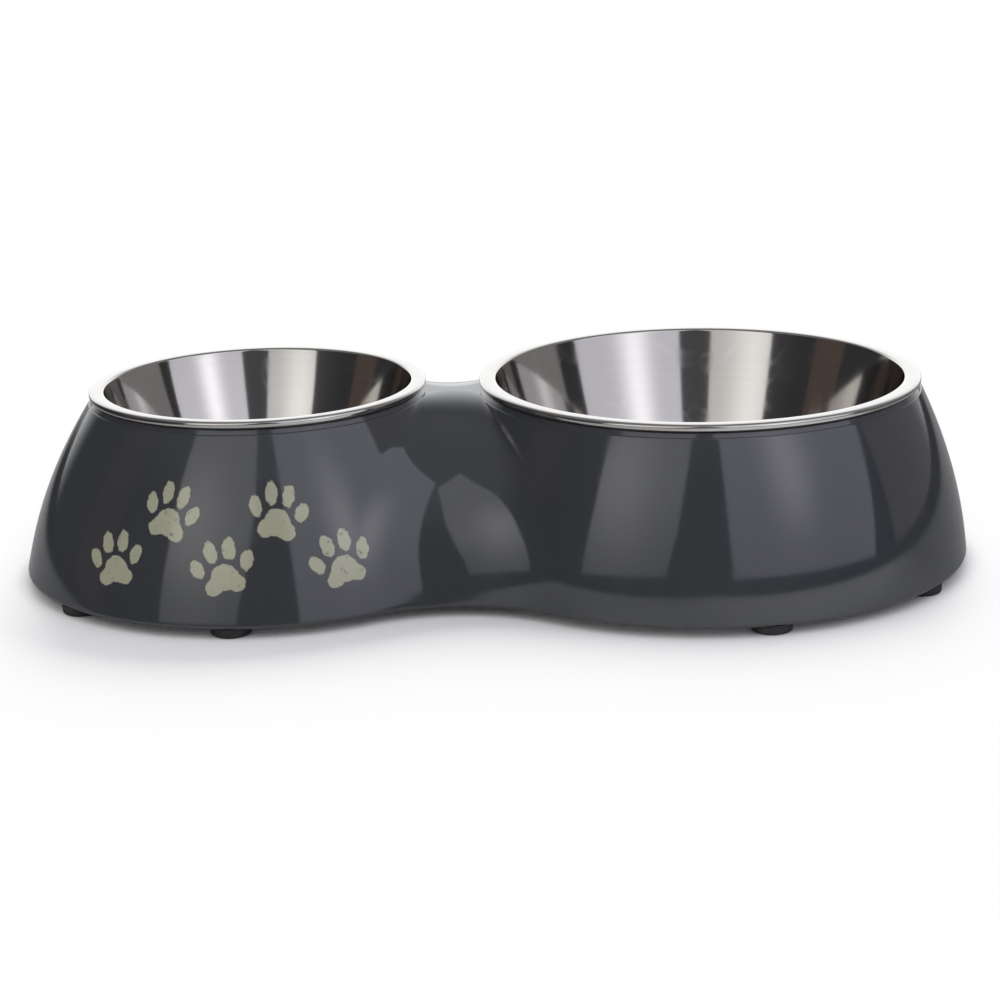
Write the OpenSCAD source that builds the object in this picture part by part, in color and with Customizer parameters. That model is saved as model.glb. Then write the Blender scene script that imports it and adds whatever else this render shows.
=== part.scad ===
// Double pet bowl: a hollow moulded stand that carries two lift-out steel bowls.
// +Z is up, z = 0 is the table under the rubber feet, and -Y is the front.
// X runs from the small bowl to the large one, with the whole stand centred on the origin.

/* [Layout] */
// Distance between the centres of the two bowls
bowl_spacing = 153; // [150:1:165]
// Height of the ledges that carry the rims, above the table
seat_h = 62.9; // [56:0.1:75]

/* [Small bowl] */
// Outer diameter of the rolled rim
small_rim_d = 116.4; // [108:0.1:118]
// Width of the rolled rim, measured outward
small_rim_w = 5.2; // [4:0.1:7]
// Depth from the top of the rim to the floor
small_depth = 36; // [26:1:46]
// Inside radius between wall and floor
small_corner_r = 10; // [5:0.5:15]

/* [Large bowl] */
// Outer diameter of the rolled rim
large_rim_d = 152.4; // [144:0.1:154]
// Width of the rolled rim, measured outward
large_rim_w = 5.8; // [4.4:0.1:7.5]
// Depth from the top of the rim to the floor
large_depth = 42; // [30:1:50]
// Inside radius between wall and floor
large_corner_r = 13; // [6:0.5:18]

/* [Bowl sheet] */
// Thickness of the steel sheet
sheet_t = 0.6; // [0.4:0.05:0.8]
// Height of the rolled rim above its ledge
rim_h = 2.8; // [2.4:0.1:4]
// Lean of the bowl walls from upright below the rim, in degrees
wall_lean = 15; // [8:0.5:17]
// Lean of the small bowl's wall where it runs into the corner, in degrees
small_foot_lean = 23; // [18:0.5:32]
// Lean of the large bowl's wall where it runs into the corner, in degrees
large_foot_lean = 19; // [18:0.5:32]
// Gap between a bowl wall and the edge of its opening
bowl_clearance = 0.5; // [0.35:0.05:1.2]

/* [Stand] */
// Thickness of the moulded wall
wall_t = 3; // [2:0.1:4]
// How far the skirt spreads outward below the small bowl
small_flare = 25.1; // [16:0.1:28]
// How far the skirt spreads outward below the large bowl
large_flare = 16.9; // [12:0.1:24]
// Half the width of the waist at the table
waist_half_w = 66; // [50:0.5:72]
// How far the waist spreads at its foot, past its dome
waist_toe = 1.1; // [0:0.1:3]
// Height of the spread at the foot of the waist
toe_h = 16; // [8:1:24]
// Depth of the deck between the bowls below the ledges
deck_drop = 1.5; // [1:0.1:4]
// How far the deck reaches outward past the rim of each bowl
deck_lip = 0.3; // [0:0.1:1.5]
// How far each raised collar stays inside the rim that covers it
collar_inset = 1; // [0.8:0.1:1.5]
// Rounding of the collar's upper edge
collar_edge_r = 0.5; // [0.3:0.1:0.8]
// Rounding of the lower edge
lower_edge_r = 1.4; // [0.5:0.1:2]
// Rounding of the upper edge
upper_edge_r = 1; // [0.5:0.1:2]

/* [Feet] */
// Diameter of a rubber foot
foot_d = 13.6; // [10:0.1:16]
// How far a foot stands below the stand
foot_h = 3.2; // [2:0.1:5]
// Rounding of the foot at the table
foot_edge_r = 1; // [0.4:0.1:1.5]
// Distance of the foot centres inside the lower edge
foot_inset = 7.5; // [7:0.1:9]
// Diameter of the stem that plugs into the stand
stem_d = 4.6; // [3:0.1:6]
// Length of the stem
stem_h = 6; // [4:0.5:8]
// Gap round the stem in its hole
stem_clearance = 0.1; // [0.05:0.05:0.3]
// Plan angles of the feet below the small bowl, from the outer end
small_foot_angles = [41.5, 86.5]; // [20:0.5:100]
// Plan angles of the feet below the large bowl, from the outer end
large_foot_angles = [35, 79]; // [20:0.5:100]

/* [Hidden] */

// Colours of the three materials
stand_colour = [0.24, 0.25, 0.27];
steel_colour = [0.78, 0.78, 0.77];
rubber_colour = [0.11, 0.11, 0.12];

// Radii of the stand at its deck and at the table, below each bowl
small_deck_r = small_rim_d / 2 + deck_lip;
large_deck_r = large_rim_d / 2 + deck_lip;
small_base_r = small_deck_r + small_flare;
large_base_r = large_deck_r + large_flare;

// Places of the two bowls along X, with the stand centred on the origin
small_x = (small_base_r - large_base_r - bowl_spacing) / 2;
large_x = small_x + bowl_spacing;

// Heights of the skirt's lower edge and of the deck
skirt_z = foot_h;
deck_z = seat_h - deck_drop;

// Part of each skirt's spread that is even over its height, where the rest grows towards the deck
small_even_share = 0.44;
large_even_share = 0.3;
// The waist is a dome of this power between its foot and the deck
waist_power = 2.1;
// Half the width of the deck's flat crest
crest_half_w = 3;

// Numbers of points along the two outer arcs and along each waist fillet
small_arc_steps = 40;
large_arc_steps = 44;
fillet_steps = 9;
// Angles that place the levels of the skirt, evenly spread on the waist's dome
level_angles = [17, 29, 40, 49, 57, 64, 70, 75.5];
inner_level_angles = [27, 46, 61, 72];
edge_angles = [0, 32, 62, 90];

// Overrun of every cut past the faces that it opens
overrun = 1;

// Share of the way from the lower edge up to the deck at a height z
function rise_share(z) = min(1, max(0, (z - skirt_z) / (deck_z - skirt_z)));

// Radius of a skirt at a height z: the deck's radius and what is left of the spread
function skirt_r(z, deck_r, flare, even_share) =
    deck_r + flare * (1 - even_share * rise_share(z) - (1 - even_share) * pow(rise_share(z), 2));
function small_r(z) = skirt_r(z, small_deck_r, small_flare, small_even_share);
function large_r(z) = skirt_r(z, large_deck_r, large_flare, large_even_share);

// Wall thickness measured level at a height z, where the skirt leans
function level_t(z, flare, even_share) =
    let (slope = flare * (even_share + 2 * (1 - even_share) * rise_share(z)) / (deck_z - skirt_z))
    wall_t * sqrt(1 + slope * slope);

// Half width of a waist dome at the share of its height given by an angle
function dome_w(angle, half_w) = half_w * pow(cos(angle), 2 / waist_power);
function dome_z(angle, foot_z, top_z) = foot_z + (top_z - foot_z) * pow(sin(angle), 2 / waist_power);

// Spread of the waist's foot past its dome at a height z
function toe_w(z) = waist_toe * pow(max(0, 1 - (z - skirt_z) / toe_h), 2);

// Angle on the dome that lies at a height z
function dome_angle(z, foot_z, top_z) =
    asin(pow(min(1, max(0, (z - foot_z) / (top_z - foot_z))), waist_power / 2));

// Radius of the fillet that leaves half width w between circles of radius r1 and r2
function fillet_r(r1, r2, w) =
    let (a = (r1 * r1 - r2 * r2 + pow(bowl_spacing, 2)) / (2 * bowl_spacing))
    let (b = (r1 - r2) / bowl_spacing)
    let (p = w - r1 + a * b)
    let (q = w * w - r1 * r1 + a * a)
    q / (sqrt(p * p - b * b * q) - p);

// Points on an arc, angles in degrees
function arc(x, y, r, from, to, steps, first, last) =
    [for (i = [first : last]) let (t = from + (to - from) * i / steps) [x + r * cos(t), y + r * sin(t)]];

// Outline of the stand at one level: two circles and the two fillets that join them
function outline(r1, r2, w) =
    let (f = fillet_r(r1, r2, w))
    let (fx = (pow(r1 + f, 2) - pow(r2 + f, 2) + pow(bowl_spacing, 2)) / (2 * bowl_spacing))
    let (fy = sqrt((r1 + f) * (r1 + f) - fx * fx))
    let (a1 = atan2(fy, fx), a2 = atan2(fy, bowl_spacing - fx))
    concat(
        arc(small_x, 0, r1, a1, 360 - a1, small_arc_steps, 0, small_arc_steps),
        arc(small_x + fx, -fy, f, 180 - a1, a2, fillet_steps, 1, fillet_steps - 1),
        arc(large_x, 0, r2, 180 + a2, 540 - a2, large_arc_steps, 0, large_arc_steps),
        arc(small_x + fx, fy, f, -a2, a1 - 180, fillet_steps, 1, fillet_steps - 1));

// One level of the outer skin, drawn in by inset
function outer_ring(z, inset) =
    let (dome = dome_w(dome_angle(z, skirt_z, deck_z), waist_half_w - waist_toe))
    let (w = max(crest_half_w, dome + toe_w(z) - inset))
    [for (p = outline(small_r(z) - inset, large_r(z) - inset, w)) [p[0], p[1], z]];

// One level of the inner skin, whose dome is the outer one less the wall
function inner_ring(z, w) =
    let (small_t = level_t(z, small_flare, small_even_share))
    let (large_t = level_t(z, large_flare, large_even_share))
    [for (p = outline(small_r(z) - small_t, large_r(z) - large_t, w)) [p[0], p[1], z]];

// All levels, down the outer skin from the deck and up the inner skin to the ceiling
function skin_rings() =
    let (ceiling_z = deck_z - wall_t, inner_half_w = waist_half_w - waist_toe - wall_t)
    concat(
        [for (i = [len(edge_angles) - 1 : -1 : 0])
            let (t = edge_angles[i])
            outer_ring(deck_z - upper_edge_r * (1 - sin(t)), upper_edge_r * (1 - cos(t)))],
        [for (i = [len(level_angles) - 1 : -1 : 0])
            let (z = dome_z(level_angles[i], skirt_z, deck_z))
            if (z > skirt_z + lower_edge_r && z < deck_z - upper_edge_r) outer_ring(z, 0)],
        [for (t = edge_angles)
            outer_ring(skirt_z + lower_edge_r * (1 - sin(t)), lower_edge_r * (1 - cos(t)))],
        [inner_ring(skirt_z, inner_half_w)],
        [for (t = inner_level_angles)
            inner_ring(dome_z(t, skirt_z, ceiling_z), dome_w(t, inner_half_w))],
        [inner_ring(ceiling_z, crest_half_w)]);

// Hollow shell of the stand, as one closed skin from the deck round to the ceiling
module shell() {
    rings = skin_rings();
    per_ring = len(rings[0]);
    last = len(rings) - 1;
    points = [for (ring = rings) for (p = ring) p];
    sides = [for (k = [0 : last - 1]) for (i = [0 : per_ring - 1])
        let (j = (i + 1) % per_ring, a = k * per_ring, b = (k + 1) * per_ring)
        for (face = [[a + i, b + j, b + i], [a + i, a + j, b + j]]) face];
    deck = [for (i = [per_ring - 1 : -1 : 0]) i];
    ceiling = [for (i = [0 : per_ring - 1]) last * per_ring + i];
    polyhedron(points, concat([deck], sides, [ceiling]), convexity = 8);
}

// Radius of the opening that lets a bowl's wall through its ledge
function opening_r(rim_d, rim_w) = rim_d / 2 - rim_w + sheet_t + bowl_clearance;

// Raised collar round an opening, whose top is the ledge under the rim
module collar(rim_d, rim_w) {
    outer_r = rim_d / 2 - collar_inset;
    inner_r = opening_r(rim_d, rim_w) - overrun;
    root_z = deck_z - wall_t / 2;
    rotate_extrude($fn = 96)
        polygon(concat(
            [[inner_r, root_z], [outer_r, root_z]],
            [for (t = [0, 45, 90])
                [outer_r - collar_edge_r * (1 - cos(t)), seat_h - collar_edge_r * (1 - sin(t))]],
            [[inner_r, seat_h]]));
}

// Opening through the deck and its collar
module opening(rim_d, rim_w) {
    translate([0, 0, deck_z - wall_t - overrun])
        cylinder(r = opening_r(rim_d, rim_w), h = wall_t + deck_drop + 2 * overrun, $fn = 96);
}

// Centres of the feet: two in front and the same two behind, below each bowl
function foot_places(x, side, base_r, angles) =
    [for (t = [-angles[0], -angles[1], angles[1], angles[0]])
        [x + side * (base_r - foot_inset) * cos(t), (base_r - foot_inset) * sin(t)]];
small_feet = foot_places(small_x, -1, small_base_r, small_foot_angles);
large_feet = foot_places(large_x, 1, large_base_r, large_foot_angles);

// Post inside the skirt that holds a foot's stem
post_d = stem_d + 2 * wall_t;
post_h = stem_h + wall_t;

// Moulded stand: shell, collars and posts, with its two openings and eight stem holes
module stand() {
    color(stand_colour)
    difference() {
        union() {
            shell();
            translate([small_x, 0, 0]) collar(small_rim_d, small_rim_w);
            translate([large_x, 0, 0]) collar(large_rim_d, large_rim_w);
            for (p = concat(small_feet, large_feet))
                translate([p[0], p[1], skirt_z]) cylinder(d = post_d, h = post_h, $fn = 24);
        }
        translate([small_x, 0, 0]) opening(small_rim_d, small_rim_w);
        translate([large_x, 0, 0]) opening(large_rim_d, large_rim_w);
        for (p = concat(small_feet, large_feet))
            translate([p[0], p[1], skirt_z - overrun])
                cylinder(d = stem_d + 2 * stem_clearance, h = stem_h + stem_clearance + overrun, $fn = 20);
    }
}

// Angles round the rolled rim: from the wall over the top and under to the flat that rests
roll_angles = [171, 143, 112, 82, 52, 22, -8, -42, -75, -105, -128];
roll_inner_angles = [-128, -75, -15, 45, 105];
seat_angle = 75;
corner_steps = 4;
wall_steps = 4;

// One sheet steel bowl on its own axis: floor, corner, bowed wall and rolled rim
module bowl(rim_d, rim_w, depth, corner_r, foot_lean) {
    roll_w = rim_w / 2;
    roll_h = rim_h / (1 + sin(seat_angle));
    roll_r = rim_d / 2 - roll_w;
    roll_z = seat_h + rim_h - roll_h;
    floor_z = seat_h + rim_h - depth;

    // The wall is an arc from the roll down to the corner
    wall_r = roll_r + roll_w * cos(roll_angles[0]);
    wall_z = roll_z + roll_h * sin(roll_angles[0]);
    corner_z = floor_z + corner_r;
    bow_r = (wall_z - corner_z + corner_r * sin(foot_lean)) / (sin(foot_lean) - sin(wall_lean));
    bow_x = wall_r - bow_r * cos(wall_lean);
    bow_z = wall_z + bow_r * sin(wall_lean);
    corner_x = bow_x + (bow_r - corner_r) * cos(foot_lean);

    function corner_arc(r, steps) = [for (i = steps)
        let (t = -90 + (90 - foot_lean) * i / corner_steps) [corner_x + r * cos(t), corner_z + r * sin(t)]];
    function wall_arc(r, steps) = [for (i = steps)
        let (t = foot_lean + (wall_lean - foot_lean) * i / wall_steps)
        [bow_x + r * cos(t), bow_z - r * sin(t)]];
    roll_outside = [for (t = roll_angles) [roll_r + roll_w * cos(t), roll_z + roll_h * sin(t)]];
    roll_inside = [for (t = roll_inner_angles)
        [roll_r + (roll_w - sheet_t) * cos(t), roll_z + (roll_h - sheet_t) * sin(t)]];

    rotate_extrude($fn = 56)
        polygon(concat(
            [[0, floor_z]], corner_arc(corner_r, [0 : corner_steps]), wall_arc(bow_r, [1 : wall_steps - 1]),
            roll_outside, roll_inside,
            wall_arc(bow_r + sheet_t, [wall_steps : -1 : 1]),
            corner_arc(corner_r + sheet_t, [corner_steps : -1 : 0]), [[0, floor_z - sheet_t]]));
}

module small_bowl() {
    color(steel_colour)
        translate([small_x, 0, 0])
            bowl(small_rim_d, small_rim_w, small_depth, small_corner_r, small_foot_lean);
}

module large_bowl() {
    color(steel_colour)
        translate([large_x, 0, 0])
            bowl(large_rim_d, large_rim_w, large_depth, large_corner_r, large_foot_lean);
}

// Rubber foot: a pad with a rounded edge, and the stem that plugs into its post
module rubber_foot(place) {
    pad = [for (t = [-90, -45, 0])
        [foot_d / 2 - foot_edge_r * (1 - cos(t)), foot_edge_r * (1 + sin(t))]];
    color(rubber_colour)
        translate([place[0], place[1], 0])
            rotate_extrude($fn = 16)
                polygon(concat([[0, 0]], pad, [[foot_d / 2, foot_h], [stem_d / 2, foot_h],
                    [stem_d / 2, foot_h + stem_h], [0, foot_h + stem_h]]));
}

stand();
small_bowl();
large_bowl();
rubber_foot(small_feet[0]);  // foot_small_front_outer
rubber_foot(small_feet[1]);  // foot_small_front_inner
rubber_foot(small_feet[2]);  // foot_small_rear_inner
rubber_foot(small_feet[3]);  // foot_small_rear_outer
rubber_foot(large_feet[0]);  // foot_large_front_outer
rubber_foot(large_feet[1]);  // foot_large_front_inner
rubber_foot(large_feet[2]);  // foot_large_rear_inner
rubber_foot(large_feet[3]);  // foot_large_rear_outer
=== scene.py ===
import bmesh
import bpy
import numpy as np
from mathutils import Matrix, Vector
from mathutils.geometry import delaunay_2d_cdt


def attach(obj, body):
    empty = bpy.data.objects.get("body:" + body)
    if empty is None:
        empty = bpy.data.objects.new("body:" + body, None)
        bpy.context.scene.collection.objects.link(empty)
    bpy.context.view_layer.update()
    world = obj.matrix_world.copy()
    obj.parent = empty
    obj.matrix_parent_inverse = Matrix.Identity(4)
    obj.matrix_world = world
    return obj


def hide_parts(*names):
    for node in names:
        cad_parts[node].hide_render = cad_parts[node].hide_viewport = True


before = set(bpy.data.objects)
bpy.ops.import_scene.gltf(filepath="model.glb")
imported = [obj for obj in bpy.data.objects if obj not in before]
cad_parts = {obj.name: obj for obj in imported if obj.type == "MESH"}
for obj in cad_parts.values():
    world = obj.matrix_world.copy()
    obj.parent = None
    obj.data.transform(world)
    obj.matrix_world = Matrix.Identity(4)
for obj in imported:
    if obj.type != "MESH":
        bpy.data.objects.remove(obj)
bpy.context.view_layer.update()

# The stand: one hollow shell, a figure-eight in plan, with a saddle between two spreading skirts.
# Compression-moulded melamine, about 3 mm thick and open below, with a raised collar round each
# opening that carries a bowl's rim, and eight posts inside the skirt for the stems of the feet.
MM = 0.001
bowl_spacing = 153 * MM
seat_z, deck_drop = 62.9 * MM, 1.5 * MM
deck_z = seat_z - deck_drop
skirt_z = 3.2 * MM
wall_t = 3 * MM
ceiling_z = deck_z - wall_t
small_rim_r = 58.2 * MM
large_rim_r = 76.2 * MM
deck_lip = 0.3 * MM
small_flare, small_even_share = 25.1 * MM, 0.44
large_flare, large_even_share = 16.9 * MM, 0.3
waist_half_w, waist_toe, toe_h = 66 * MM, 1.1 * MM, 16 * MM
toe_lean, toe_fade_h = 0.05, 8 * MM
waist_power = 2.1
crest_half_w = 3 * MM
lower_edge_r, upper_edge_r = 1.4 * MM, 0.3 * MM
collar_foot_inset, collar_inset, collar_edge_r = 0.25 * MM, 1.0 * MM, 0.5 * MM
collar_edge_start, collar_edge_points, collar_steps = np.pi / 6, 5, 240
opening_gap = 1.1 * MM
small_rim_w, large_rim_w = 5.2 * MM, 5.8 * MM
# The skin stays this far inside the solid, whose flat facets cut its corners
skin_inset = 0.17 * MM
# Points along each arc of the plan outline, and levels of the outer and the inner skin
small_steps, fillet_steps, large_steps = 150, 44, 170
outer_levels, inner_levels, ceiling_gap = 60, 26, 0.05 * MM
# Points nearer than this are welded, and a face counts as inside a hole up to this share of it
weld_gap, hole_share = 1e-6, 1.0002

small_deck_r, large_deck_r = small_rim_r + deck_lip, large_rim_r + deck_lip
small_base_r, large_base_r = small_deck_r + small_flare, large_deck_r + large_flare
small_x = (small_base_r - large_base_r - bowl_spacing) / 2
large_x = small_x + bowl_spacing


def rise(z):
    """Share of the way from the skirt's lower edge up to the deck."""
    return np.clip((z - skirt_z) / (deck_z - skirt_z), 0, 1)


def skirt_r(z, deck_r, flare, even_share):
    """Radius of a skirt at height z: the spread goes as an even part plus one that grows upward."""
    return deck_r + flare * (1 - even_share * rise(z) - (1 - even_share) * rise(z) ** 2)


def level_t(z, flare, even_share):
    """Wall thickness measured level: the true one times the length of the skirt's slope."""
    slope = flare * (even_share + 2 * (1 - even_share) * rise(z)) / (deck_z - skirt_z)
    return wall_t * np.sqrt(1 + slope ** 2)


def dome(z, half_w, top_z):
    """Half width of the waist at height z: a superellipse, upright at its foot, flat on top."""
    share = np.clip((z - skirt_z) / (top_z - skirt_z), 0, 1)
    return half_w * (1 - share ** waist_power) ** (1 / waist_power)


def dome_levels(top_z, first, last, count):
    """Heights at even angles on the waist's superellipse, from one height down to another."""
    full_h = top_z - skirt_z
    angles = [np.arcsin(((z - skirt_z) / full_h) ** (waist_power / 2)) for z in (first, last)]
    return skirt_z + full_h * np.sin(np.linspace(*angles, count)) ** (2 / waist_power)


def outline(small_r, large_r, half_w):
    """Outlines of the stand, one row for each level.

    Two circles joined by two hollow fillets. A fillet's radius is the one that touches both
    circles and leaves half_w between it and the middle of the waist."""
    small_r, large_r, half_w = (np.asarray(v, float)[:, None] for v in (small_r, large_r, half_w))
    along = (small_r ** 2 - large_r ** 2 + bowl_spacing ** 2) / (2 * bowl_spacing)
    lean = (small_r - large_r) / bowl_spacing
    p = half_w - small_r + along * lean
    q = half_w ** 2 - small_r ** 2 + along ** 2
    fillet_r = q / (np.sqrt(p ** 2 - lean ** 2 * q) - p)
    small_reach, large_reach = small_r + fillet_r, large_r + fillet_r
    fillet_x = (small_reach ** 2 - large_reach ** 2 + bowl_spacing ** 2) / (2 * bowl_spacing)
    fillet_y = np.sqrt(small_reach ** 2 - fillet_x ** 2)
    small_turn = np.arctan2(fillet_y, fillet_x)
    large_turn = np.arctan2(fillet_y, bowl_spacing - fillet_x)

    def arc(x, y, r, start, end, steps):
        t = start + (end - start) * np.arange(steps) / steps
        return np.stack([x + r * np.cos(t), y + r * np.sin(t)], 2)

    return np.concatenate([
        arc(small_x, 0, small_r, small_turn, 2 * np.pi - small_turn, small_steps),
        arc(small_x + fillet_x, -fillet_y, fillet_r, np.pi - small_turn, large_turn, fillet_steps),
        arc(large_x, 0, large_r, np.pi + large_turn, 3 * np.pi - large_turn, large_steps),
        arc(small_x + fillet_x, fillet_y, fillet_r, -large_turn, small_turn - np.pi, fillet_steps)],
        1)


def at_height(rows, z):
    """Rows of plan points, lifted to one height for each row."""
    heights = np.broadcast_to(np.asarray(z)[:, None, None], rows.shape[:2] + (1,))
    return np.concatenate([rows, heights], 2)


def outer_rows(z, skirt_inset, waist_inset):
    """Rows of the outer skin at heights z, drawn in by an inset on the skirts and on the waist.

    At its top the waist is crest_half_w wide to each side, and below it the square of its half
    width is the crest's square plus the dome's, so that it flattens upward without a crease. It
    and the small skirt lean in a little more just above their foot."""
    toe = toe_lean * (z - skirt_z) * np.exp((skirt_z - z) / toe_fade_h)
    spread = waist_toe * np.clip(1 - (z - skirt_z) / toe_h, 0, 1) ** 2
    half_w = dome(z, waist_half_w - waist_toe, deck_z) + spread
    return at_height(outline(
        skirt_r(z, small_deck_r, small_flare, small_even_share) - skirt_inset - toe,
        skirt_r(z, large_deck_r, large_flare, large_even_share) - skirt_inset,
        np.sqrt(crest_half_w ** 2 + half_w ** 2) - waist_inset - toe), z)


def inner_rows(z, half_w):
    """Rows of the inner skin: each skirt less its wall, with the waist's inner half width."""
    small_t = level_t(z, small_flare, small_even_share)
    large_t = level_t(z, large_flare, large_even_share)
    return at_height(outline(
        skirt_r(z, small_deck_r, small_flare, small_even_share) - small_t,
        skirt_r(z, large_deck_r, large_flare, large_even_share) - large_t, half_w), z)


def grid_faces(rows, columns, closed=True):
    """Faces between neighbouring rows of a grid, whose rows close on themselves if closed."""
    across = columns if closed else columns - 1
    row, column = np.meshgrid(np.arange(rows - 1), np.arange(across), indexing="ij")
    after = (column + 1) % columns
    a, b = row * columns, (row + 1) * columns
    return np.stack([a + column, a + after, b + after, b + column], 2).reshape(-1, 4)


def skin(rows):
    """A grid of rows as one part of a mesh: its points and its faces."""
    return rows.reshape(-1, 3), grid_faces(rows.shape[0], rows.shape[1]).tolist()


def spin(profile, x, y, steps):
    """A profile of (radius, height) points, carried round the upright axis through (x, y)."""
    turn = 2 * np.pi * np.arange(steps) / steps
    r, z = np.asarray(profile, float).T
    rows = np.stack([x + r[:, None] * np.cos(turn), y + r[:, None] * np.sin(turn),
                     np.broadcast_to(z[:, None], (len(z), steps))], 2)
    return skin(rows)


def flat_cap(rim, z, holes, steps):
    """A level face inside the outline rim, with a round hole of each (x, radius) in holes.

    The points are joined by triangles, and those inside a hole or outside the rim are left out."""
    turn = 2 * np.pi * np.arange(steps) / steps
    loops = [rim] + [np.stack([x + r * np.cos(turn), r * np.sin(turn)], 1) for x, r in holes]
    starts = np.cumsum([0] + [len(loop) for loop in loops])
    edges = [(int(a + i), int(a + (i + 1) % len(loop)))
             for a, loop in zip(starts, loops) for i in range(len(loop))]
    points = np.concatenate(loops)
    found = delaunay_2d_cdt([Vector(p) for p in points], edges, [], 0, 1e-9)
    points, faces = np.array([tuple(p) for p in found[0]]), np.array(found[2])
    middle = points[faces].mean(1)
    front = rim[rim[:, 1] <= 0]
    front = front[np.argsort(front[:, 0])]
    keep = np.abs(middle[:, 1]) < -np.interp(middle[:, 0], front[:, 0], front[:, 1])
    for x, r in holes:
        from_axis = np.hypot(points[faces][:, :, 0] - x, points[faces][:, :, 1])
        keep &= from_axis.max(1) > r * hole_share
    return np.column_stack([points, np.full(len(points), z)]), faces[keep].tolist()


def piece(name, parts, body, smooth_below=40):
    """One object from parts of (points, faces, material number), welded, its faces outward."""
    starts = np.cumsum([0] + [len(points) for points, faces, number in parts])
    all_points = np.concatenate([points for points, faces, number in parts])
    all_faces = [[int(a + i) for i in face]
                 for a, (points, faces, number) in zip(starts, parts) for face in faces]
    numbers = [number for points, faces, number in parts for face in faces]
    mesh = bpy.data.meshes.new(name)
    mesh.from_pydata(all_points, [], all_faces)
    mesh.polygons.foreach_set("material_index", numbers)
    mesh.polygons.foreach_set("use_smooth", [True] * len(mesh.polygons))
    shape = bmesh.new()
    shape.from_mesh(mesh)
    bmesh.ops.remove_doubles(shape, verts=shape.verts, dist=weld_gap)
    bmesh.ops.recalc_face_normals(shape, faces=shape.faces)
    shape.to_mesh(mesh)
    shape.free()
    mesh.set_sharp_from_angle(angle=np.radians(smooth_below))
    made = bpy.data.objects.new(name, mesh)
    bpy.context.scene.collection.objects.link(made)
    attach(made, body)
    return made


round_edge = np.radians([0, 13, 26, 39, 52, 65, 78, 88, 90])
edge_z = np.concatenate([
    deck_z - upper_edge_r * (1 - np.sin(round_edge[::-1])),
    dome_levels(deck_z, deck_z - upper_edge_r, skirt_z + lower_edge_r, outer_levels + 2)[1:-1],
    skirt_z + lower_edge_r * (1 - np.sin(round_edge))])
no_inset = np.zeros(outer_levels + len(round_edge))
upper_inset = np.append(upper_edge_r * (1 - np.cos(round_edge[::-1])), no_inset)
lower_inset = np.append(no_inset, lower_edge_r * (1 - np.cos(round_edge)))
outer_skin = outer_rows(edge_z, upper_inset + lower_inset + skin_inset, lower_inset + skin_inset)

inner_half_w = waist_half_w - waist_toe - wall_t
inner_z = dome_levels(ceiling_z, skirt_z, ceiling_z - ceiling_gap, inner_levels)
inner_dome = dome(inner_z, inner_half_w, ceiling_z)
inner_skin = inner_rows(inner_z, np.maximum(crest_half_w, inner_dome))
ceiling = inner_rows(np.array([ceiling_z]), np.array([crest_half_w]))
inner_skin = np.concatenate([outer_skin[-1:], inner_skin, ceiling])

openings = [(small_x, small_rim_r, small_rim_w), (large_x, large_rim_r, large_rim_w)]
collar_foot_r = [(x, rim_r - collar_foot_inset) for x, rim_r, rim_w in openings]
opening_r = [(x, rim_r - rim_w + opening_gap) for x, rim_r, rim_w in openings]
parts = [(*skin(outer_skin), 0), (*skin(inner_skin), 1),
         (*flat_cap(outer_skin[0, :, :2], deck_z, collar_foot_r, collar_steps), 0),
         (*flat_cap(ceiling[0, :, :2], ceiling_z, opening_r, collar_steps), 1)]
# Each collar slopes from the deck up to its rounded top, and goes down inside to the ceiling
for (x, foot_r), (x, inner_r) in zip(collar_foot_r, opening_r):
    top_r = foot_r + collar_foot_inset - collar_inset
    turns = np.linspace(collar_edge_start, np.pi / 2, collar_edge_points)
    collar = [(foot_r, deck_z)]
    collar += [(top_r - collar_edge_r * (1 - np.cos(t)), seat_z - collar_edge_r * (1 - np.sin(t)))
               for t in turns]
    collar += [(inner_r, seat_z), (inner_r, ceiling_z)]
    parts.append((*spin(collar, x, 0, collar_steps), 0))

foot_inset, stem_r, stem_h = 7.5 * MM, 2.3 * MM, 6 * MM
small_foot_angles, large_foot_angles = np.radians([41.5, 86.5]), np.radians([35, 79])


def foot_places(x, side, base_r, angles):
    """Centres of the four feet below a bowl: front outer, front inner, rear inner, rear outer."""
    turn = np.array([-angles[0], -angles[1], angles[1], angles[0]])
    r = base_r - foot_inset
    return np.stack([x + side * r * np.cos(turn), r * np.sin(turn)], 1)


foot_centres = np.concatenate([foot_places(small_x, -1, small_base_r, small_foot_angles),
                               foot_places(large_x, 1, large_base_r, large_foot_angles)])
stem_gap, post_foot_gap = 0.1 * MM, 0.05 * MM
post_foot_edge, post_top_edge, post_steps = 0.3 * MM, 1.4 * MM, 32
post_r, post_z, post_top_z = stem_r + wall_t, skirt_z + post_foot_gap, skirt_z + stem_h + wall_t
hole_r, hole_z = stem_r + stem_gap, skirt_z + stem_h + stem_gap
post_profile = [
    (0, hole_z), (hole_r, hole_z), (hole_r, post_z), (post_r - post_foot_edge, post_z),
    (post_r, post_z + post_foot_edge), (post_r, post_top_z - post_top_edge),
    (post_r - post_top_edge, post_top_z), (0, post_top_z)]
parts += [(*spin(post_profile, x, y, post_steps), 1) for x, y in foot_centres]

stand = piece("moulded_stand", parts, "stand")
even_shading = stand.modifiers.new("even_shading", "WEIGHTED_NORMAL")
even_shading.keep_sharp = True
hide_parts("stand")


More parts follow.
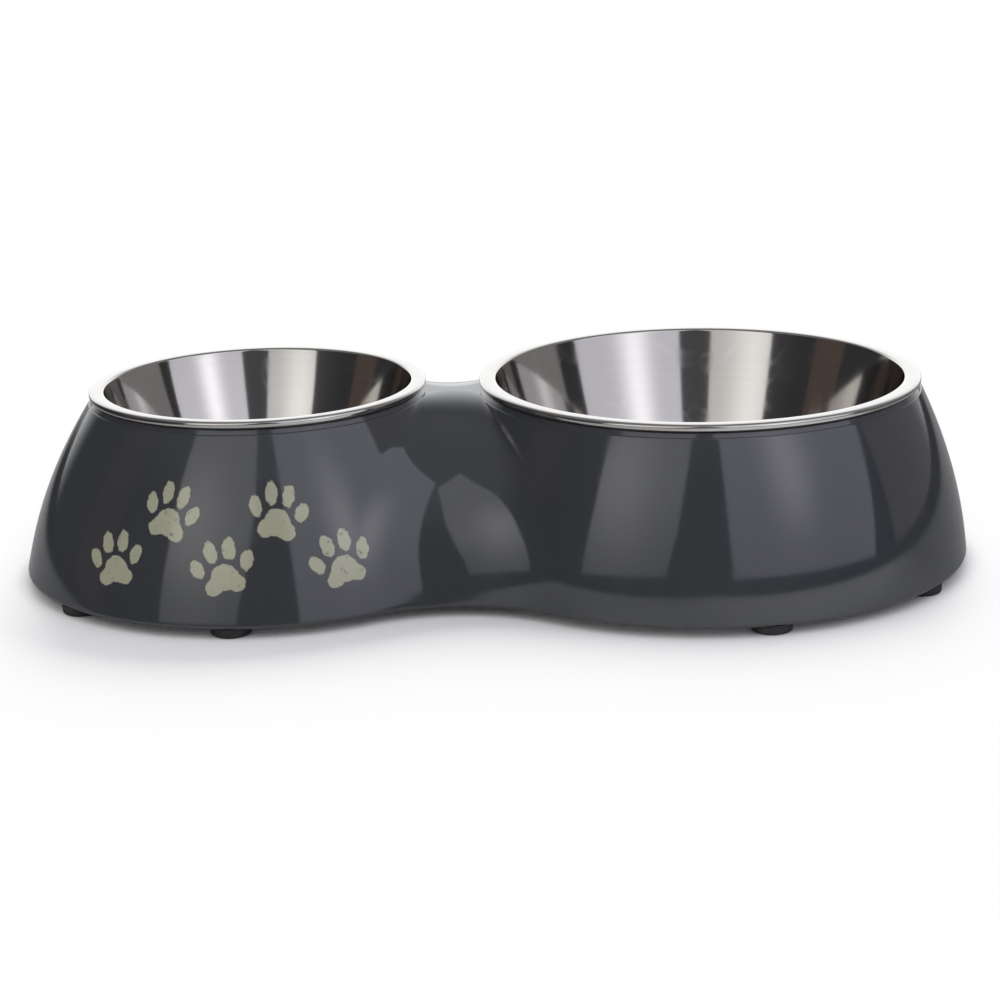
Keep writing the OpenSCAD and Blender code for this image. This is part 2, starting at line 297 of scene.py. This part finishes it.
class Value:
    """A socket in a node tree. An expression on it, such as 1 - mask * 0.4, adds its Math nodes."""

    def __init__(self, finish, socket):
        self.finish, self.socket = finish, socket

    def maths(self, operation, *others):
        made = self.finish.node("Math", {"operation": operation})
        for socket, value in zip(made.inputs, (self,) + others):
            self.finish.feed(socket, value)
        return Value(self.finish, made.outputs[0])

    def __add__(self, other):
        return self.maths("ADD", other)

    def __sub__(self, other):
        return self.maths("SUBTRACT", other)

    def __rsub__(self, other):
        return (self * -1.0).maths("ADD", other)

    def __mul__(self, other):
        return self.maths("MULTIPLY", other)

    def __truediv__(self, other):
        return self.maths("DIVIDE", other)

    def __pow__(self, other):
        return self.maths("POWER", other)

    __radd__, __rmul__ = __add__, __mul__


class Finish:
    """A material, or the light of the room, with one method that adds any node to its tree."""

    def __init__(self, owner):
        owner.use_nodes = True
        self.owner, self.tree = owner, owner.node_tree
        self.tree.nodes.clear()

    def feed(self, socket, value):
        if isinstance(value, Value):
            self.tree.links.new(value.socket, socket)
        elif isinstance(value, bpy.types.NodeSocket):
            self.tree.links.new(value, socket)
        else:
            socket.default_value = value

    def node(self, kind, settings=None, **sockets):
        """Adds a node of a type, then its settings, then the values or links of its sockets."""
        made = self.tree.nodes.new("ShaderNode" + kind)
        for name, value in (settings or {}).items():
            setattr(made, name, value)
        for name, value in sockets.items():
            wanted = [s for s in made.inputs if s.name == name.replace("_", " ") and s.enabled]
            self.feed(wanted[0], value)
        return made

    def value(self, kind, output, settings=None, **sockets):
        """Adds a node in the same way, and gives one of its outputs."""
        made = self.node(kind, settings, **sockets)
        wanted = [s for s in made.outputs if s.name == output and s.enabled]
        return Value(self, wanted[0])

    def step(self, value, low, high):
        """0 below low and 1 above high, with a smooth rise between them."""
        return self.value("MapRange", "Result", {"interpolation_type": "SMOOTHSTEP"},
                          Value=value, From_Min=low, From_Max=high)

    def mix(self, share, first, second):
        return self.value("Mix", "Result", {"data_type": "RGBA"}, Factor=share, A=first, B=second)

    def surface(self, **sockets):
        """Makes a Principled shader, with these values or links, the material's surface."""
        shader = self.node("BsdfPrincipled", **sockets)
        self.node("OutputMaterial", Surface=shader.outputs[0])


def material(name):
    return Finish(bpy.data.materials.new(name))


def melamine(name, printed):
    """Glossy slate grey melamine: faint flow clouds and specks in the colour, smears in the gloss,
    and a very low ripple in the surface. The skirt carries a worn cream print of paw marks."""
    finish = material(name)
    place = finish.value("TexCoord", "Object")
    axes = finish.node("SeparateXYZ", Vector=place)
    x, y, z = (Value(finish, s) for s in axes.outputs)
    clouds = finish.value("TexNoise", "Fac", Vector=place, Scale=38.0, Detail=4.0, Roughness=0.55)
    speckle = finish.value("TexNoise", "Fac", Vector=place, Scale=2600.0, Detail=2.0)
    colour = finish.mix(clouds, (0.0305, 0.0325, 0.0375, 1), (0.0365, 0.0385, 0.0435, 1))
    colour = finish.mix(finish.step(speckle, 0.66, 0.8) * 0.5, colour, (0.052, 0.054, 0.058, 1))
    smears = finish.value("TexNoise", "Fac", Vector=place, Scale=60.0, Detail=6.0, Distortion=1.2)
    gloss = 0.075 + finish.step(smears, 0.5, 0.75) * 0.05 + finish.step(speckle, 0.6, 0.8) * 0.05
    ripple = finish.value("TexNoise", "Fac", Vector=place, Scale=26.0, Detail=1.0)
    grain = finish.value("TexNoise", "Fac", Vector=place, Scale=900.0, Detail=3.0)
    height = ripple + grain * 0.006
    if printed:
        mark = paw_prints(finish, x, y, z, place)
        cream = finish.mix(clouds, (0.285, 0.28, 0.20, 1), (0.345, 0.34, 0.25, 1))
        colour = finish.mix(mark, colour, cream)
        gloss = gloss + mark * 0.08
        height = height + mark * 0.02
    bump = finish.node("Bump", Strength=0.12, Distance=0.4 * MM, Height=height)
    finish.surface(Base_Color=colour, Roughness=gloss, Normal=bump.outputs[0], IOR=1.67)
    return finish.owner


print_centre, print_z, print_r = -6 * MM, 31 * MM, small_base_r - 9 * MM
stride, sway, paw_size, paw_tilt = 37 * MM, 8 * MM, 11.2 * MM, 0.2


def paw_row(across, up, tilt, first, last):
    """How far inside the nearest paw mark of a row a point lies, in paw sizes.

    A mark is a broad pad and four toes. Each is an ellipse, measured as 1 less the distance from
    its centre in its own radii, and the pad's three run together by a smooth maximum."""
    cell = (across / stride + 0.5).maths("FLOOR").maths("MAXIMUM", first).maths("MINIMUM", last)
    sideways, upward = (across - cell * stride) / paw_size, up / paw_size
    cosine, sine = float(np.cos(tilt)), float(np.sin(tilt))
    px, py = sideways * cosine + upward * sine, upward * cosine - sideways * sine

    def ellipse(cx, cy, rx, ry, turn=0.0):
        """1 less the distance from (cx, cy) in the ellipse's radii, times the shorter radius."""
        dx, dy = px - cx, py - cy
        ex = (dx * float(np.cos(turn)) + dy * float(np.sin(turn))) / rx
        ey = (dy * float(np.cos(turn)) - dx * float(np.sin(turn))) / ry
        return (1.0 - (ex * ex + ey * ey).maths("SQRT")) * min(rx, ry)

    mark = ellipse(0, -0.30, 0.40, 0.38)
    for side in (-1, 1):
        mark = mark.maths("SMOOTH_MAX", ellipse(0.30 * side, -0.50, 0.29, 0.25, -0.5 * side), 0.12)
    for side in (-1, 1):
        mark = mark.maths("MAXIMUM", ellipse(0.70 * side, 0.04, 0.20, 0.31, -0.45 * side))
        mark = mark.maths("MAXIMUM", ellipse(0.27 * side, 0.44, 0.21, 0.33, -0.14 * side))
    return mark


def paw_prints(finish, x, y, z, place):
    """Where the cream print lies: paw marks in two rows that step past each other, worn and torn
    at their edges. They run along the plan angle from the front of the small bowl's skirt."""
    across = (x - small_x).maths("ARCTAN2", y * -1.0) * print_r - print_centre
    up = z - print_z
    lower_row = paw_row(across, up + sway, paw_tilt, -1.0, 1.0)
    upper_row = paw_row(across + stride / 2, up - sway, -paw_tilt, 0.0, 1.0)
    mark = lower_row.maths("MAXIMUM", upper_row)
    torn = finish.value("TexNoise", "Fac", Vector=place, Scale=520.0, Detail=3.0)
    worn = finish.value("TexNoise", "Fac", Vector=place, Scale=420.0, Detail=5.0, Roughness=0.7)
    edge = finish.step(mark + (torn - 0.5) * 0.13, 0.0, 0.035)
    return edge * (1.0 - finish.step(worn, 0.58, 0.70) * 0.6)


stand.data.materials.append(melamine("melamine_skirt", True))
stand.data.materials.append(melamine("melamine_underside", False))

# The rubber feet: eight pads under the lower edge, each with a stem pressed into its post.
# Moulded black rubber, matt, with a rounded edge where it meets the table.
foot_names = ["foot_%s_%s" % (bowl, place) for bowl in ("small", "large")
              for place in ("front_outer", "front_inner", "rear_inner", "rear_outer")]
foot_r, foot_edge_r, foot_steps = 6.8 * MM, 1.0 * MM, 64


def rubber():
    """Matt black rubber with a fine moulded grain and a little dust."""
    finish = material("black_rubber")
    place = finish.value("TexCoord", "Object")
    grain = finish.value("TexNoise", "Fac", Vector=place, Scale=1400.0, Detail=4.0)
    dust = finish.value("TexNoise", "Fac", Vector=place, Scale=220.0, Detail=5.0)
    dusty = finish.step(dust, 0.4, 0.8)
    colour = finish.mix(dusty, (0.012, 0.012, 0.013, 1), (0.035, 0.034, 0.033, 1))
    bump = finish.node("Bump", Strength=0.4, Distance=0.1 * MM, Height=grain)
    finish.surface(Base_Color=colour, Roughness=0.55 + grain * 0.25, Normal=bump.outputs[0])
    return finish.owner


foot_finish = rubber()
foot_profile = [(0, 0)] + [
    (foot_r - foot_edge_r * (1 - np.cos(t)), foot_edge_r * (1 + np.sin(t)))
    for t in np.linspace(-np.pi / 2, 0, 7)]
foot_profile += [(foot_r, skirt_z), (stem_r, skirt_z)]
foot_profile += [(stem_r, skirt_z + stem_h), (0, skirt_z + stem_h)]
for name, (x, y) in zip(foot_names, foot_centres):
    pad = spin(foot_profile, x, y, foot_steps)
    foot = piece("rubber_" + name, [(*pad, 0)], "stand")
    foot.data.materials.append(foot_finish)
    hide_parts(name)

# The two bowls: each drops through its collar and hangs by its rim, and lifts straight out.
# Stainless sheet about 0.6 mm thick, drawn deep, its edge rolled outward into a hollow bead, and
# spun with a polishing wheel that leaves the finest of rings.
sheet_t, rim_h = 0.6 * MM, 2.78 * MM
small_depth, small_corner_r, small_foot_lean = 36 * MM, 10 * MM, np.radians(23)
large_depth, large_corner_r, large_foot_lean = 42 * MM, 13 * MM, np.radians(19)
wall_lean = np.radians(15)
rim_squareness, curl_squareness = 3.4, 2.3
# Degrees round the rolled rim, from its outer side up: the wall's top, the roll's start, how far
# below level its flat seat starts, the sheet's edge, and the end of the roll's inside
wall_top, roll_start, seat_start, sheet_edge, roll_end = 168, 165, 75, -128, 105
seat_turn = np.radians(seat_start)
bowl_steps = 256


def bowl_profile(rim_r, rim_w, depth, corner_r, foot_lean):
    """Half section of a bowl, all the way round its sheet.

    Flat floor, round corner, a wall on a large arc that leans less as it rises, and a rolled rim
    on a superellipse, squarer above than below, that ends in a curl under itself. The outside is
    the same less the sheet."""
    roll_w, roll_h = rim_w / 2, rim_h / (1 + np.sin(seat_turn) ** (2 / curl_squareness))
    roll_r, roll_z = rim_r - roll_w, seat_z + rim_h - roll_h
    floor_z = seat_z + rim_h - depth

    def roll(inset, start, end, steps):
        t = np.radians(np.linspace(start, end, steps))
        power = 2 / np.where(np.sin(t) > 0, rim_squareness, curl_squareness)
        across, up = (np.sign(v) * np.abs(v) ** power for v in (np.cos(t), np.sin(t)))
        return np.stack([roll_r + (roll_w - inset) * across, roll_z + (roll_h - inset) * up], 1)

    (wall_r, wall_z), = roll(0, wall_top, wall_top, 1)
    corner_z = floor_z + corner_r
    bow_h = wall_z - corner_z + corner_r * np.sin(foot_lean)
    bow_r = bow_h / (np.sin(foot_lean) - np.sin(wall_lean))
    bow_x, bow_z = wall_r - bow_r * np.cos(wall_lean), wall_z + bow_r * np.sin(wall_lean)
    corner_x = bow_x + (bow_r - corner_r) * np.cos(foot_lean)

    def corner(r):
        t = np.linspace(-np.pi / 2, -foot_lean, 14)
        return np.stack([corner_x + r * np.cos(t), corner_z + r * np.sin(t)], 1)

    def wall(r):
        t = np.linspace(foot_lean, wall_lean, 24)[1:]
        return np.stack([bow_x + r * np.cos(t), bow_z - r * np.sin(t)], 1)

    floor_r = np.linspace(0, corner_x, 8)[:-1]
    return np.concatenate([
        np.stack([floor_r, np.full_like(floor_r, floor_z)], 1), corner(corner_r), wall(bow_r),
        roll(0, roll_start, -seat_start, 61), roll(0, seat_start - 180, sheet_edge, 5),
        roll(sheet_t, sheet_edge, roll_end, 24),
        wall(bow_r + sheet_t)[::-1], corner(corner_r + sheet_t)[::-1],
        np.stack([floor_r[::-1], np.full_like(floor_r, floor_z - sheet_t)], 1)])


def steel(name, x):
    """Polished stainless steel: spun rings in the surface and the gloss, hairline scratches that
    cross them, and faint dried water marks. The rings follow radius plus height."""
    finish = material(name)
    place = finish.value("TexCoord", "Object")
    axes = finish.node("SeparateXYZ", Vector=place)
    dx, dy, z = (Value(finish, s) for s in axes.outputs)
    dx = dx - x
    along = (dx * dx + dy * dy).maths("SQRT") + z
    around = dx.maths("ARCTAN2", dy)
    ring_place = finish.value("CombineXYZ", "Vector", X=along, Y=around * 0.0006, Z=0.0)
    rings = finish.value("TexNoise", "Fac", Vector=ring_place, Scale=2400.0, Detail=3.0,
                         Roughness=0.6)
    bands = finish.value("TexNoise", "Fac", Vector=ring_place, Scale=240.0, Detail=2.0)
    scratches = finish.value("TexNoise", "Fac", Vector=place, Scale=300.0, Detail=8.0,
                             Roughness=0.75, Distortion=3.0)
    marks = finish.value("TexNoise", "Fac", Vector=place, Scale=45.0, Detail=3.0, Distortion=0.6)
    marked = finish.step(marks, 0.56, 0.6) * (1.0 - finish.step(marks, 0.6, 0.7))
    colour = finish.mix(bands, (0.490, 0.472, 0.453, 1), (0.525, 0.505, 0.483, 1))
    colour = finish.mix(marked * 0.15, colour, (0.62, 0.61, 0.60, 1))
    gloss = 0.085 + (rings - 0.5) * 0.04 + finish.step(scratches, 0.6, 0.75) * 0.05 + marked * 0.04
    height = rings * 0.5 + bands * 0.5
    bump = finish.node("Bump", Strength=0.06, Distance=0.03 * MM, Height=height)
    finish.surface(Base_Color=colour, Roughness=gloss, Normal=bump.outputs[0], Metallic=1.0)
    return finish.owner


small_sizes = small_rim_r, small_rim_w, small_depth, small_corner_r, small_foot_lean
large_sizes = large_rim_r, large_rim_w, large_depth, large_corner_r, large_foot_lean
for name, x, sizes in (("small_bowl", small_x, small_sizes), ("large_bowl", large_x, large_sizes)):
    sheet = spin(bowl_profile(*sizes), x, 0, bowl_steps)
    steel_bowl = piece("steel_" + name, [(*sheet, 0)], name, smooth_below=60)
    steel_bowl.data.materials.append(steel(name + "_steel", x))
    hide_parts(name)

# The studio: a white table that runs on to a white backdrop, a dark room in front of them, and a
# softbox to the left and to the right of the camera, each a little above the table's level.
table_r = 6.0
# The shadow fades over this length, and starts to fade this far from the skirt at the left
fade_length, left_fade_start = 0.019, 0.02
# Painted light that mirrors see on the table, how brightly they show it: all of it, what its
# front and its front right add to that, and what its right takes off
table_painted_light, front_gain, right_gain, right_loss = 0.49, 0.22, 0.4, 0.1


def blend(finish, share, first, second):
    """A shader that turns from the first into the second as share goes from 0 to 1."""
    made = finish.node("MixShader")
    for socket, value in zip(made.inputs, (share, first, second)):
        finish.feed(socket, value)
    return made.outputs[0]


def glow(finish, colour):
    """A shader that sends out just this colour."""
    return finish.node("Emission", Color=(*colour, 1), Strength=1.0).outputs[0]


def ray(finish, kind):
    """1 for rays of this kind, such as Camera, and 0 for all others."""
    return finish.value("LightPath", "Is %s Ray" % kind)


def table():
    """Matt white laminate. The camera sees it turn into the backdrop's plain white away from the
    object, by 1 - exp(-gap / fade_length), with gap the distance outward from the skirts' foot.
    Mirrors see painted light and shade on it: painted lit in front, dimmer beside the object,
    and dark past its two ends, by a dark glow mixed in. It is clear from below, and lets light
    through under the stand."""
    finish = material("white_table")
    place = finish.value("TexCoord", "Object")
    axes = finish.node("SeparateXYZ", Vector=place)
    x, y = Value(finish, axes.outputs[0]), Value(finish, axes.outputs[1])
    aside = x.maths("ABSOLUTE")
    gaps = [((x - centre) ** 2.0 + y * y).maths("SQRT") - base_r
            for centre, base_r in ((small_x, small_base_r), (large_x, large_base_r))]
    gap = gaps[0].maths("SMOOTH_MIN", gaps[1], 0.08)
    start = left_fade_start - finish.step(x, -0.13, 0.04) * left_fade_start
    near = ((gap - start).maths("MAXIMUM", 0.0) / -fade_length).maths("EXPONENT")
    past_side = finish.step(aside, 0.135, 0.185) * finish.step(gap, -0.002, 0.006)
    far = 1.0 - near * (1.0 - past_side)
    mirrored = ray(finish, "Glossy")
    seen = ray(finish, "Camera").maths("MAXIMUM", ray(finish, "Transmission"))
    mottle = finish.value("TexNoise", "Fac", Vector=place, Scale=30.0, Detail=3.0)
    off_white = finish.mix(mottle, (0.92, 0.92, 0.92, 1), (0.94, 0.94, 0.94, 1))
    matt = finish.node("BsdfPrincipled", Base_Color=off_white, Roughness=0.5).outputs[0]
    # Painted light and shade for mirrors: brighter in front and to the front right, darker aside
    ahead, to_right = finish.step(y * -1.0, 0.02, 0.12), finish.step(x, -0.04, 0.12)
    mirrored_painted_light = table_painted_light + ahead * front_gain + to_right * (ahead * right_gain - right_loss)
    mirrored_painted_light = mirrored_painted_light * (1.0 - finish.step(aside - x * 0.2, 0.30, 0.48))
    spread = finish.step(aside / (y.maths("ABSOLUTE") + 0.1), 0.35, 0.75)
    behind = finish.step(y, 0.25, 0.9) * (1.0 - spread)
    # A dark glow mixed in where the painted light is low: painted shade in reflections
    painted_shade_in_mirrors = blend(finish, (1.0 - mirrored_painted_light) * mirrored, matt, glow(finish, (0.04, 0.04, 0.04)))
    top = blend(finish, far * seen + behind * mirrored, painted_shade_in_mirrors, glow(finish, (1, 1, 1)))
    inside = finish.step(gap * -1.0, 0.030, 0.045) * (1.0 - ray(finish, "Camera"))
    clear = inside.maths("MAXIMUM", finish.value("NewGeometry", "Backfacing"))
    shown = blend(finish, clear, top, finish.node("BsdfTransparent").outputs[0])
    finish.node("OutputMaterial", Surface=shown)
    return finish.owner


def stage_mesh(name, points, faces, finish):
    """A mesh of the studio, which is no part of the object."""
    mesh = bpy.data.meshes.new(name)
    mesh.from_pydata(points, [], faces)
    mesh.materials.append(finish)
    made = bpy.data.objects.new(name, mesh)
    bpy.context.scene.collection.objects.link(made)
    return made


turn = np.radians(np.arange(0, 360, 3))
table_edge = np.stack([table_r * np.cos(turn), table_r * np.sin(turn), 0 * turn], 1)
stage_mesh("table", table_edge, [list(range(len(turn)))], table())
cloth_columns = 12


def vector_maths(finish, operation, output, *values):
    """One output of a vector operation on these values."""
    made = finish.node("VectorMath", {"operation": operation})
    for socket, value in zip(made.inputs, values):
        finish.feed(socket, value)
    return Value(finish, made.outputs[output])


def softbox(name, left_edge, right_edge, low_glow, high_glow, heart, heart_size, heart_glow):
    """A softbox's white cloth, stretched between two edges, each given from its low end up.

    Its glow rises with height, and more in front of its lamp: by exp(-d^2), with d the distance
    from the heart in the heart's own sizes across and upward."""
    finish = material(name + "_cloth")
    place = finish.value("TexCoord", "Object")
    away = vector_maths(finish, "SUBTRACT", "Vector", place, heart)
    away = vector_maths(finish, "DIVIDE", "Vector", away, heart_size)
    distance = vector_maths(finish, "LENGTH", "Value", away)
    height = finish.value("SeparateXYZ", "Z", Vector=place)
    raised = finish.step(height, -0.05, 0.55)
    cloth = blend(finish, raised, glow(finish, low_glow), glow(finish, high_glow))
    by_lamp = (distance ** 2.0 * -1.0).maths("EXPONENT")
    cloth = blend(finish, by_lamp, cloth, glow(finish, heart_glow))
    finish.node("OutputMaterial", Surface=cloth)
    share = np.linspace(0, 1, cloth_columns)[None, :, None]
    left_edge, right_edge = np.array(left_edge), np.array(right_edge)
    points = left_edge[:, None] * (1 - share) + right_edge[:, None] * share
    faces = grid_faces(len(left_edge), cloth_columns, closed=False).tolist()
    made = stage_mesh(name, points.reshape(-1, 3), faces, finish.owner)
    made.visible_camera = False
    made.visible_shadow = False


softbox("right_softbox",
        [(0.20, -0.82, 0.075), (0.179, -0.797, 0.3), (0.149, -0.757, 0.6), (0.058, -0.66, 1.7)],
        [(1.10, -0.34, 0.03), (0.73, -0.127, 0.3), (0.57, 0.00, 0.6), (0.56, 0.10, 1.3)],
        low_glow=(0.75, 0.75, 0.83), high_glow=(1.02, 1.03, 1.14),
        heart=(0.4375, -0.482, 0.42), heart_size=(0.11, 0.11, 0.32), heart_glow=(2.0, 2.0, 2.15))
softbox("left_softbox",
        [(-0.50, -0.45, 0.04), (-0.60, -0.55, 0.3), (-0.73, -0.63, 0.7), (-0.77, -0.66, 1.1),
         (-0.62, -0.69, 1.9), (-0.58, -0.70, 3.2)],
        [(-0.24, -0.97, 0.10), (-0.16, -0.96, 0.3), (-0.07, -0.94, 0.7), (-0.04, -0.93, 1.1),
         (0.00, -0.92, 1.6), (0.03, -0.92, 2.0)],
        low_glow=(0.41, 0.41, 0.41), high_glow=(0.92, 0.92, 0.92),
        heart=(-0.50, -0.655, 0.5), heart_size=(0.24, 0.24, 0.36), heart_glow=(1.55, 1.55, 1.55))

room = Finish(bpy.data.worlds.new("studio"))
bpy.context.scene.world = room.owner
direction = room.value("TexCoord", "Generated")
axes = room.node("SeparateXYZ", Vector=direction)
right, back, up = (Value(room, s) for s in axes.outputs)
level = (right * right + back * back).maths("SQRT").maths("MAXIMUM", 0.001)
behind, beside = back / level, right / level
overhead = room.step(up, 0.45, 0.92)
backdrop = room.step(behind, 0.62, 0.94) * (1.0 - room.step(up, 0.30, 0.75))
grey_side = room.step(beside, 0.2, 0.5) * room.step(behind, -0.06, -0.03)
brown_band = room.step(behind, -0.22, -0.20) * (1.0 - room.step(behind, 0.14, 0.16))
brown_side = room.step(beside * -1.0, 0.5, 0.9) * brown_band
in_front = room.step(behind * -1.0, 0.3, 0.95)
dark = room.mix(in_front, (0.05, 0.05, 0.053, 1), (0.10, 0.10, 0.106, 1))
dark = room.mix(brown_side, dark, (0.11, 0.085, 0.075, 1))
dark = room.mix(grey_side, dark, (0.28, 0.27, 0.28, 1))
dark = room.mix(overhead, dark, (0.28, 0.28, 0.29, 1))
mirrored = room.mix(backdrop, dark, (1.45, 1.48, 1.50, 1))
seen = ray(room, "Camera").maths("MAXIMUM", ray(room, "Transmission"))
colour = room.mix(seen, mirrored, (1, 1, 1, 1))
colour = room.mix(ray(room, "Diffuse"), colour, (0.85, 0.85, 0.85, 1))
sky = room.node("Background", Color=colour, Strength=1.0)
room.node("OutputWorld", Surface=sky.outputs[0])

# The camera, fitted to the rims, outlines, lower edge and feet in the picture: its distance from
# what it aims at, and its rise, roll and turn in degrees
camera_distance, camera_rise, camera_roll, camera_turn = 0.82812, 16.09, -1.37, 0.22
aim = Vector((-4.9 * MM, 0, 32 * MM))
aside = Vector((6.78 * MM, -10.63 * MM, camera_distance))
lens = bpy.data.cameras.new("camera")
lens.sensor_width, lens.lens = 36, 84.893
lens.clip_start, lens.clip_end = 0.05, 50
camera = bpy.data.objects.new("camera", lens)
bpy.context.scene.collection.objects.link(camera)
camera.matrix_world = (Matrix.Translation(Vector((aim.x, 0, 0)))
                       @ Matrix.Rotation(np.radians(camera_turn), 4, "Z")
                       @ Matrix.Translation(Vector((0, 0, aim.z)))
                       @ Matrix.Rotation(np.radians(90 - camera_rise), 4, "X")
                       @ Matrix.Rotation(np.radians(camera_roll), 4, "Z")
                       @ Matrix.Translation(aside))
bpy.context.scene.camera = camera
bpy.context.scene.view_settings.view_transform = "Standard"
